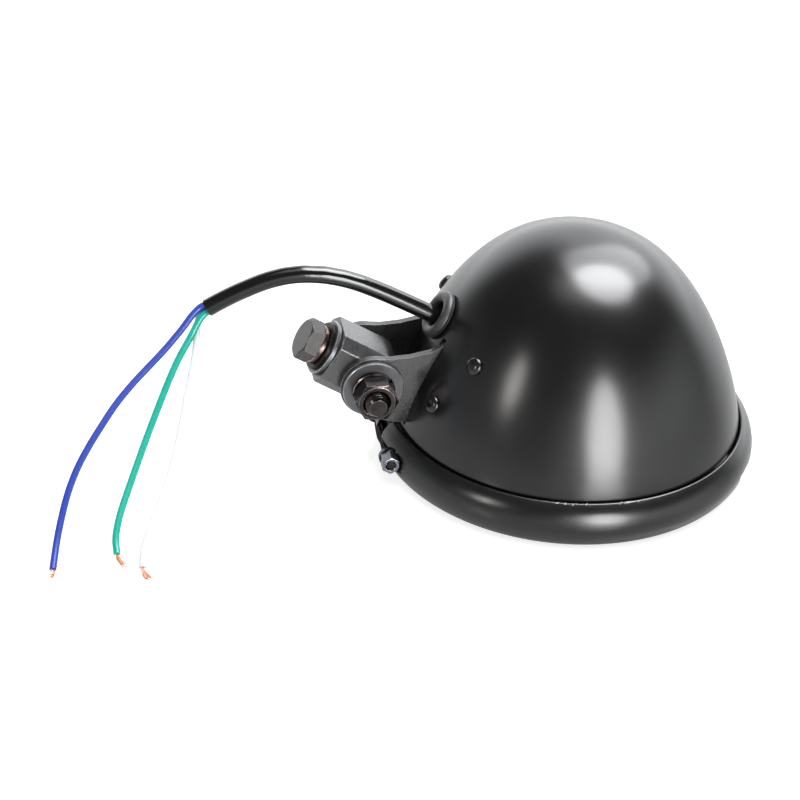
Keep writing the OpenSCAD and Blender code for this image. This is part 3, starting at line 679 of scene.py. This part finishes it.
def trim_ring():
    bead_r = RING_R - BEAD
    inner = BEAD - WALL
    top = math.degrees(math.asin((BACK_Z - MID_Z) / BEAD))
    foot = -math.degrees(math.asin(MID_Z / BEAD))
    inner_foot = -math.degrees(math.asin((MID_Z - WALL) / inner))

    def arc(radius, start, end, steps=40):
        angles = [math.radians(start + (end - start) * i / steps) for i in range(steps + 1)]
        return [(bead_r + radius * math.cos(a), MID_Z + radius * math.sin(a)) for a in angles]

    roll = math.radians(top + 2)
    hem_r = bead_r + (BEAD - HEM) * math.cos(roll)
    hem_z = MID_Z + (BEAD - HEM) * math.sin(roll)
    hem = [(hem_r + HEM * math.cos(math.radians(a)), hem_z + HEM * math.sin(math.radians(a)))
           for a in range(215, 58, -12)]
    foot_and_lip = [(FOOT_R + 0.6, 0.02), (FOOT_R, 0.0), (FOOT_R - 0.8, 0.25),
                    (LIP_R + 0.1, LIP_Z - 1.7), (LIP_R, LIP_Z - 1.3), (LIP_R, LIP_Z - 0.2),
                    (LIP_R + 0.2, LIP_Z), (LIP_R + 1.2, LIP_Z), (LIP_R + 1.3, LIP_Z - 1.0),
                    (FOOT_R + 0.4, WALL)]
    profile = hem + arc(BEAD, top + 2, foot + 2) + foot_and_lip + arc(inner, inner_foot, top - 4)
    o = piece("trim_ring_band", turned(profile, 360), "ring")

    combine(o, box((-BEYOND, SPLIT_Y - SPLIT_GAP / 2, -OVER),
                   (10 - LIP_R, SPLIT_Y + SPLIT_GAP / 2, 30)), "DIFFERENCE")
    combine(o, box((SHELL_R + FIT, -DRAIN_LENGTH / 2, DRAIN_LOW),
                   (BEYOND, DRAIN_LENGTH / 2, DRAIN_TOP)), "DIFFERENCE",
            Matrix.Rotation(math.radians(DRAIN_ANGLE), 4, "Z"))
    for low, high in ((RING_NUT_LOW, RING_NUT_LOW + POCKET_LENGTH),
                      (SCREW_HEAD - POCKET_LENGTH, SCREW_HEAD)):
        combine(o, rod(POCKET_R, low, high, 48), "DIFFERENCE", ON_SCREW)
    for low in (-NEAR_LUG, SCREW_HEAD):
        lug = piece("lug", rod(LUG_R, low + LUG_INSET, low + LUG_T - LUG_INSET, 48), "ring",
                    ON_SCREW)
        combine(lug, box((-2 * BEYOND, -BEYOND, 0), (-FLANGE_R - FIT, BEYOND, 40)), "INTERSECT")
        combine_objects(o, lug, "UNION")
    combine(o, rod(SCREW_R + FIT, SCREW_HEAD - OVER, RING_NUT_LOW + OVER, 48), "DIFFERENCE",
            ON_SCREW)
    cleaned(o)
    smooth(o, RING_ANGLE)

    wear_and_highlight = o.data.attributes.new("wear_and_highlight", "FLOAT", "POINT")
    for v, mark in zip(o.data.vertices, wear_and_highlight.data):
        p = v.co / MM
        azimuth = math.degrees(math.atan2(p.y, p.x))
        on_hem = math.hypot(p.x, p.y) < hem_r + 0.7 and p.z > hem_z + 0.2
        nicked = any(low < azimuth < high for low, high in NICKS)
        mark.value = 1.0 if on_hem and nicked else 0.0
    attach(o, LAMP)
    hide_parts("trim_ring")


trim_ring()

# Fasteners, whose hexagons need a low angle for a crisp edge at their flat chamfers; their bevels
# get a painted highlight
HEXAGON_ANGLE = 22
MOUNT_HEAD_TURN = 22
LAND_SHARE = 0.95
CHAMFER_SLOPE = 0.58
THREAD_DEPTH = 0.45


def hexagon(af, low, high, both=False, turn=0):
    """A hexagon with its corners turned off at the top, or at both ends."""
    corner = af / math.sqrt(3)
    angles = [math.radians(60 * i + turn) for i in range(6)]
    points = [(corner * math.cos(a), corner * math.sin(a)) for a in angles]
    land = af / 2 * LAND_SHARE
    drop = (corner - land) * CHAMFER_SLOPE
    outside = corner + 0.2
    if both:
        profile = [(0, low), (land, low), (outside, low + drop)]
    else:
        profile = [(0, low - OVER), (outside, low - OVER)]
    profile += [(outside, high - drop), (land, high), (0, high)]
    return carved(prism(points, low - both, high + OVER), turned(profile, 96), "INTERSECT")


def threaded(radius, low, high, pitch, point=0.8):
    """A threaded shank with a turned point at its high end."""
    around = 48
    rows_per_turn = 8
    rows = int((high - low) / pitch * rows_per_turn)
    depth = pitch * THREAD_DEPTH
    bm = bmesh.new()
    rings = []
    for i in range(rows + 1):
        z = low + (high - low) * i / rows
        limit = radius if z < high - point else radius - (z - high + point)
        ring = []
        for k in range(around):
            phase = (z / pitch - k / around) % 1
            ridge = 1 - abs(2 * phase - 1)
            r = min(radius - depth * (1 - ridge), limit)
            a = math.tau * k / around
            ring.append(bm.verts.new((r * math.cos(a), r * math.sin(a), z)))
        rings.append(ring)
    for a, b in zip(rings, rings[1:]):
        bridge(bm, a, b)
    bm.faces.new(list(reversed(rings[0])))
    bm.faces.new(rings[-1])
    return bm


def washer(outer, low, high, edge):
    bore = WASHER_BORE
    return turned([(bore, low + edge), (bore + edge, low), (outer - edge, low),
                   (outer, low + edge), (outer, high - edge), (outer - edge, high),
                   (bore + edge, high), (bore, high - edge)], 96)


def spring_washer_gap(radius, z):
    """A slanted cutter for the gap of a spring washer whose middle is at z."""
    half_gap = 0.6
    depth = 6
    cut = box((radius * 0.4, -half_gap, -depth), (radius * 1.6, half_gap, depth))
    lean = Matrix.Rotation(math.radians(40), 4, "Z") @ Matrix.Rotation(math.radians(25), 4, "X")
    return moved(cut, Matrix.Translation((0, 0, z)) @ lean)


def nut_bore(radius, low, top, sink, steps):
    """A cutter for a nut's hole, with a countersink at its top."""
    return turned([(0, low), (radius, low), (radius, top - sink), (radius + sink + RUN, top + RUN),
                   (0, top + RUN)], steps)


def washers():
    """Flat washers, and spring washers, which are cut through."""
    for name, node, radius, low, high, edge, finish, place, body in (
            ("mount_spring_washer", "mount_lock_washer", MOUNT_SPRING_R, BLACK_TOP, SPRING_TOP,
             0.35, "pink", ALONG_BLOCK, ARM),
            ("mount_black_washer", "mount_washer_black", BLACK_WASHER_R, WIDE_TOP, BLACK_TOP,
             0.3, "washer", ALONG_BLOCK, ARM),
            ("mount_wide_washer", "mount_washer_wide", WIDE_WASHER_R, BLOCK_FRONT, WIDE_TOP,
             0.35, "grey", ALONG_BLOCK, ARM),
            ("pivot_washer_near", "pivot_washer_right", PIVOT_WASHER_R, EAR_OUT, NEAR_SPRING,
             0.35, "grey", ON_PIVOT, LAMP),
            ("pivot_washer_far", "pivot_washer_left", PIVOT_WASHER_R, -NEAR_SPRING, -EAR_OUT,
             0.35, "grey", ON_PIVOT, LAMP),
            ("pivot_spring_washer", "pivot_lock_washer", PIVOT_SPRING_R, NEAR_SPRING, NEAR_NUT,
             0.4, "dark", ON_PIVOT, LAMP)):
        gaps = [spring_washer_gap(radius, low + SPRING_T / 2)] if "spring" in name else []
        # The washers' chamfers get a painted highlight.
        add(name, node, washer(radius, low, high, edge), finish, place, body, holes=gaps,
            rims=True)


def mount_bolt():
    shank = moved(threaded(BOLT_R, -SPRING_TOP - 0.1, -MOUNT_TIP, BOLT_PITCH), FLIP)
    bmesh.ops.recalc_face_normals(shank, faces=shank.faces)
    head = hexagon(BOLT_AF, SPRING_TOP, SPRING_TOP + HEAD_H, turn=MOUNT_HEAD_TURN)
    add("mount_bolt_head", "mount_bolt", merged(head, shank), "steel", ALONG_BLOCK, ARM,
        bevel=0.22, angle=HEXAGON_ANGLE)


def pivot_bolt_and_nut():
    nut = hexagon(BOLT_AF, NEAR_NUT, NUT_TOP, both=True)
    add("pivot_hex_nut", "pivot_nut", nut, "dark", ON_PIVOT, LAMP, bevel=0.2,
        angle=HEXAGON_ANGLE, holes=[nut_bore(BOLT_R + RUN, NEAR_NUT - OVER, NUT_TOP, 0.9, 64)])
    thread_start = 13
    head = moved(hexagon(BOLT_AF, NEAR_SPRING, NEAR_SPRING + HEAD_H), FLIP)
    plain = rod(BOLT_R, -NEAR_SPRING - 0.1, thread_start)
    thread = threaded(BOLT_R, thread_start, BOLT_END, BOLT_PITCH, 1.3)
    add("pivot_bolt_body", "pivot_bolt", merged(head, plain, thread), "dark", ON_PIVOT, LAMP,
        bevel=0.15, angle=HEXAGON_ANGLE)


def ring_screw_and_nut():
    nut = hexagon(RING_NUT_AF, RING_NUT_LOW, RING_NUT_TOP, turn=30)
    add("ring_tall_nut", "ring_nut", nut, "zinc", ON_SCREW, LAMP, bevel=0.2,
        angle=HEXAGON_ANGLE,
        holes=[nut_bore(SCREW_R + RUN, RING_NUT_LOW - 10, RING_NUT_TOP, 0.4, 48)])
    radius = SCREW_R * 1.8
    height = SCREW_R * 1.32
    outer_face = SCREW_HEAD - height
    head = turned([(0, outer_face), (radius * 0.6, outer_face),
                   (radius * 0.87, SCREW_HEAD - height * 0.8),
                   (radius * 0.98, SCREW_HEAD - height * 0.45), (radius, SCREW_HEAD - 0.4),
                   (radius * 0.96, SCREW_HEAD), (0, SCREW_HEAD)], 64)
    reach = 2
    half = 0.4
    for wide, deep in ((reach, half), (half, reach)):
        slot = box((-wide, -deep, SCREW_HEAD - 4), (wide, deep, SCREW_HEAD - height / 2))
        head = carved(head, slot, "DIFFERENCE")
    thread = threaded(SCREW_R, SCREW_HEAD - 0.1, RING_NUT_TOP - 0.6, 0.7, 0.4)
    add("ring_pan_screw", "ring_screw", merged(head, thread), "dark", ON_SCREW, LAMP)


mount_bolt()
washers()
pivot_bolt_and_nut()
ring_screw_and_nut()


# Rivets
def rivet():
    tail = -(WALL + EAR_T + 2 * SKIN)
    tail_r = 3.0
    head_r = 3.8
    edge = 0.25
    rise = 2.3
    dome = [(head_r * math.cos(math.radians(a)) ** 0.8,
             edge + (rise - edge) * math.sin(math.radians(a))) for a in range(0, 90, 6)]
    return turned([(0, tail - 1), (tail_r - 0.5, tail - 1), (tail_r, tail - 0.5), (tail_r, tail),
                   (RIVET_R, tail), (RIVET_R, 0.02), (head_r - 0.2, 0.02)] + dome + [(0, rise)],
                  48)


def rivets():
    parts = []
    for side in (Matrix.Identity(4), MIRROR):
        for azimuth, z in RIVETS:
            part = moved(rivet(), side @ on_dome(azimuth, z))
            bmesh.ops.recalc_face_normals(part, faces=part.faces)
            parts.append(part)
    add("rivet_heads", "rivets", merged(*parts), "paint", None, LAMP, angle=50)


rivets()


# Grommet: a round lip outside, a neck through the wall and a flange behind it
def grommet():
    middle = (7.9, 1.15)
    half_width = 2.6
    rise = 2.2
    sink = 1.4
    lip = []
    for a in range(-60, 241, 12):
        x = math.cos(math.radians(a))
        y = math.sin(math.radians(a))
        lip.append((middle[0] + half_width * x, middle[1] + (rise if y > 0 else sink) * y))
    lip = [(r, z) for r, z in lip if r >= GROMMET_BORE and z > 0.1]
    back = -(WALL + 1.1)
    profile = ([(GROMMET_NECK, -0.25), (10.1, -0.25)] + lip
               + [(GROMMET_BORE, 0.6), (GROMMET_BORE, back - 1.4), (GROMMET_BORE + 0.6, back - 2),
                  (9.5, back - 1.8), (10.0, back), (GROMMET_NECK, back)])
    add("grommet_rubber", "grommet", turned(profile, 96), "rubber", on_dome(0, GROMMET_Z), LAMP,
        angle=40)


grommet()

# Nodes whose CAD shape is right
# The bevels of the ears, the block and the connector get a painted highlight along their edges.
for node, name, finish, body, bevel in (
        ("ear_right", "ear_plate_right", "ear", LAMP, 0.35),
        ("ear_left", "ear_plate_left", "ear", LAMP, 0.35),
        ("pivot_block", "swivel_block", "block", ARM, 0.7),
        ("lens", "lens_disc", "lens", LAMP, 0),
        ("lens_gasket", "lens_seal", "rubber", LAMP, 0),
        ("reflector", "reflector_bowl", "mirror", LAMP, 0),
        ("bulb_glass", "bulb_envelope", "lens", LAMP, 0),
        ("bulb_base", "bulb_cap", "bright", LAMP, 0),
        ("bulb_clip", "bulb_wire_clip", "bright", LAMP, 0),
        ("dust_boot", "rubber_boot", "rubber", LAMP, 0),
        ("connector", "connector_body", "plastic", LAMP, 0.5),
        ("lead_tail", "inner_lead", "sheath", LAMP, 0)):
    refined(node, name, finish, body, bevel)


# Lead, in metres
LEAD_ANGLE = 40
OPEN_DEPTH = 0.004
SHEATH_R = 0.0037
SHEATH_WALL = 0.0005
SHEATH_SHRINK = 0.00004
FLATTENING = 0.03
FLAT_FROM = 0.8
RIPPLE = 0.00012
RIPPLE_RATE = 95
RIPPLE_MIDDLE = 0.55
RIPPLE_REACH = 0.2
WIRE_R = 0.00145
STRAND_R = 0.0002
STRANDS = 16
STRAND_STEPS = 14
INNER_LAYER = 0.00034
OUTER_LAYER = 0.00072
STRAND_TWIST = 2.4
FRAY = 0.0009
LOWEST = 0.0003


def smoothed(points, between=6):
    """A smooth line through the points, by Catmull-Rom pieces."""
    p = [Vector(v) for v in points]
    p = [p[0] * 2 - p[1]] + p + [p[-1] * 2 - p[-2]]
    out = []
    for i in range(1, len(p) - 2):
        a, b, c, d = p[i - 1:i + 3]
        for k in range(between):
            t = k / between
            out.append(0.5 * (2 * b + (c - a) * t + (2 * a - 5 * b + 4 * c - d) * t * t
                              + (3 * b - a - 3 * c + d) * t ** 3))
    return out + [p[-2]]


def tube(line, size, sides, wall=None):
    """A tube along a line. size(s, a) gives the radius at the share s of the line and the angle a.

    With a wall, its far end is open: the wall turns inwards and a short way back into the tube.
    """
    bm = bmesh.new()
    rings = []
    count = len(line)
    side = (line[1] - line[0]).normalized().cross(Vector((0, 1, 0))).normalized()
    for i, point in enumerate(line):
        ahead = (line[min(i + 1, count - 1)] - line[max(i - 1, 0)]).normalized()
        side = (side - ahead * side.dot(ahead)).normalized()
        other = ahead.cross(side)
        s = i / (count - 1)
        ring = []
        for k in range(sides):
            a = math.tau * k / sides
            r = size(s, a)
            ring.append(bm.verts.new(point + r * (math.cos(a) * side + math.sin(a) * other)))
        rings.append(ring)
    for a, b in zip(rings, rings[1:]):
        bridge(bm, a, b)
    bm.faces.new(list(reversed(rings[0])))
    if wall:
        centre = line[-1]
        inwards = (line[-2] - centre).normalized() * OPEN_DEPTH
        rim = [bm.verts.new(centre + (v.co - centre) * (1 - wall / (v.co - centre).length))
               for v in rings[-1]]
        deep = [bm.verts.new(v.co + inwards) for v in rim]
        bridge(bm, rings[-1], rim)
        bridge(bm, rim, deep)
        bm.faces.new(deep)
    else:
        bm.faces.new(rings[-1])
    bmesh.ops.recalc_face_normals(bm, faces=bm.faces)
    return bm


def lead_piece(name, bm, finish, node):
    o = made(name, bm, finish)
    smooth(o, LEAD_ANGLE)
    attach(o, LAMP)
    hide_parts(node)
    return o


def sheath_size(s, a):
    """Nearly round, pressed a little flat towards its cut end, with faint ripples underneath."""
    flat = max(0.0, (s - FLAT_FROM) / (1 - FLAT_FROM))
    ripple = RIPPLE * math.sin(RIPPLE_RATE * s)
    ripple *= max(0.0, 1 - abs(s - RIPPLE_MIDDLE) / RIPPLE_REACH)
    ripple *= max(0.0, -math.cos(a))
    return SHEATH_R * (1 + FLATTENING * flat * math.cos(2 * a)) - SHEATH_SHRINK + ripple


def strands(route, tip, stray):
    """Bare copper strands that leave the insulation twisted and fray, a few towards stray."""
    start = Vector(route[-1])
    ahead = (start - Vector(route[-2])).normalized()
    side = ahead.cross(Vector((0, 0, 1))).normalized()
    other = ahead.cross(side)
    reach = (Vector(tip) - start).length
    parts = []
    for i in range(STRANDS):
        layer = 0.0 if i == 0 else INNER_LAYER if i < 6 else OUTER_LAYER
        spread = Vector((random.uniform(-1, 1), random.uniform(-1, 1), random.uniform(0, 1.2)))
        goal = Vector(stray if i % 4 == 1 else tip) + spread * FRAY
        line = []
        for k in range(STRAND_STEPS + 1):
            s = k / STRAND_STEPS
            p = start + ahead * reach * 0.75 * s * (1 - 0.5 * s)
            p = p.lerp(goal, s ** 1.8)
            a = math.tau * i / 5 + STRAND_TWIST * s
            p += layer * (1 + 0.25 * s) * (math.cos(a) * side + math.sin(a) * other)
            p.z = max(p.z, LOWEST)
            line.append(p)
        parts.append(tube(line, lambda s, a: STRAND_R, 8))
    return merged(*parts)


sheath_line = smoothed(SHEATH)
sheath = lead_piece("lead_sheath", tube(sheath_line, sheath_size, 40, SHEATH_WALL), "sheath",
                    "sheath")

random.seed(7)
STRAYS = {"blue": (-0.2192, -0.0752, 0.0014), "green": (-0.1941, -0.076, 0.0012),
          "white": (-0.1838, -0.0846, 0.001)}
for colour, route in (("blue", BLUE), ("green", GREEN), ("white", WHITE)):
    line = smoothed(route)
    wire = lead_piece("lead_wire_" + colour, tube(line, lambda s, a: WIRE_R, 24), colour,
                      "wire_" + colour)
    ends = lead_piece("copper_end_" + colour, strands(route, TIPS[colour], STRAYS[colour]),
                      "copper", "copper_" + colour)


# Ground and light
def ground():
    """A white floor. Reflections see it glow, less so on the far right, and the camera more."""
    bm = bmesh.new()
    size = 6.0
    bm.faces.new([bm.verts.new((x * size, y * size, 0))
                  for x, y in ((-1, -1), (1, -1), (1, 1), (-1, 1))])
    o = made("ground", bm)
    white = material("ground_white", (0.5, 0.5, 0.5), 0.16, vary=0.005, vary_scale=3,
                     rough_vary=0.01, grain=0.0)
    tree = white.node_tree
    shader = tree.nodes["Principled BSDF"]
    shader.inputs["Emission Color"].default_value = (1, 1, 1, 1)
    place = tree.nodes.new("ShaderNodeTexCoord").outputs["Object"]
    near_glow, far_glow, seen_glow = 0.35, 0.03, 0.8
    fade_reach = 0.16
    fade = remapped(tree, toward(tree, place, 0.75, 0.66), (0, fade_reach), (near_glow, far_glow))
    path = tree.nodes.new("ShaderNodeLightPath")
    glow = remapped(tree, path.outputs["Is Camera Ray"], (0, 1), (near_glow, seen_glow))
    tree.links.new(fade, glow.node.inputs["To Min"])
    tree.links.new(glow, shader.inputs["Emission Strength"])
    o.data.materials.append(white)


def area(name, aim, azimuth, elevation, distance, width, height, power, tint=(1, 1, 1),
         glossy=True, diffuse=True):
    """An elliptical light that faces a point from a direction given in degrees."""
    a = math.radians(azimuth)
    e = math.radians(elevation)
    away = Vector((math.cos(e) * math.cos(a), math.cos(e) * math.sin(a), math.sin(e)))
    light = bpy.data.lights.new(name, "AREA")
    light.shape = "ELLIPSE"
    light.size = width
    light.size_y = height
    light.energy = power
    light.color = tint
    o = bpy.data.objects.new(name, light)
    scene.collection.objects.link(o)
    o.location = Vector(aim) + away * distance
    o.rotation_euler = away.to_track_quat("Z", "Y").to_euler()
    o.visible_glossy = glossy
    o.visible_diffuse = diffuse


def lights():
    """A soft fill that lights all surfaces, and four lights that only show as reflections."""
    highlight = (0.004, -0.029, 0.097)
    area("overhead_fill", (0, 0, 0), azimuth=-70, elevation=80, distance=2.2, width=2.6,
         height=2.6, power=62, glossy=False)
    area("softbox_wide", highlight, azimuth=48, elevation=54, distance=1.3, width=1.1,
         height=1.4, power=23, tint=(0.96, 0.975, 1), diffuse=False)
    area("softbox_core", highlight, azimuth=20, elevation=69, distance=1.25, width=0.92,
         height=0.9, power=31, tint=(0.98, 0.99, 1), diffuse=False)
    area("strip_front", (0, -0.06, 0.05), azimuth=-76, elevation=10, distance=0.8, width=0.34,
         height=0.58, power=8.0, diffuse=False)
    area("strip_left", (-0.035, -0.049, 0.063), azimuth=-146, elevation=22, distance=1.1,
         width=0.2, height=0.38, power=2.35, tint=(1, 0.985, 0.94), diffuse=False)


def surroundings():
    """White for the camera, and for reflections a bright backdrop behind and a dim room in front."""
    world = bpy.data.worlds.new("surroundings")
    scene.world = world
    world.use_nodes = True
    tree = world.node_tree
    tree.nodes.clear()
    direction = tree.nodes.new("ShaderNodeTexCoord").outputs["Generated"]
    split = tree.nodes.new("ShaderNodeSeparateXYZ")
    tree.links.new(direction, split.inputs["Vector"])
    up = split.outputs["Z"]

    def step(value, old, new):
        return remapped(tree, value, old, new, smooth_step=True)

    behind = calculated(tree, "MULTIPLY",
                        step(toward(tree, direction, 0.26, 0.966), (0.38, 0.8), (0, 2.2)),
                        step(up, (0.4, 0.85), (1, 0)))
    low_band = calculated(tree, "MULTIPLY",
                          step(toward(tree, direction, 0.6, -0.8), (0.4, 0.98), (0.34, 1.6)),
                          step(up, (0.12, 0.5), (1, 0)))
    above = step(up, (0.93, 1.0), (0.15, 1.9))
    strength = calculated(tree, "ADD", calculated(tree, "ADD", behind, low_band), above)

    room = tree.nodes.new("ShaderNodeBackground")
    room.inputs["Color"].default_value = (0.97, 0.985, 1, 1)
    tree.links.new(strength, room.inputs["Strength"])
    plain = tree.nodes.new("ShaderNodeBackground")
    plain.inputs["Color"].default_value = (1, 1, 1, 1)
    plain.inputs["Strength"].default_value = 1.05
    path = tree.nodes.new("ShaderNodeLightPath")
    pick = tree.nodes.new("ShaderNodeMixShader")
    out = tree.nodes.new("ShaderNodeOutputWorld")
    tree.links.new(path.outputs["Is Camera Ray"], pick.inputs["Fac"])
    tree.links.new(room.outputs[0], pick.inputs[1])
    tree.links.new(plain.outputs[0], pick.inputs[2])
    tree.links.new(pick.outputs[0], out.inputs["Surface"])


ground()
lights()
surroundings()
scene.view_settings.view_transform = "Standard"
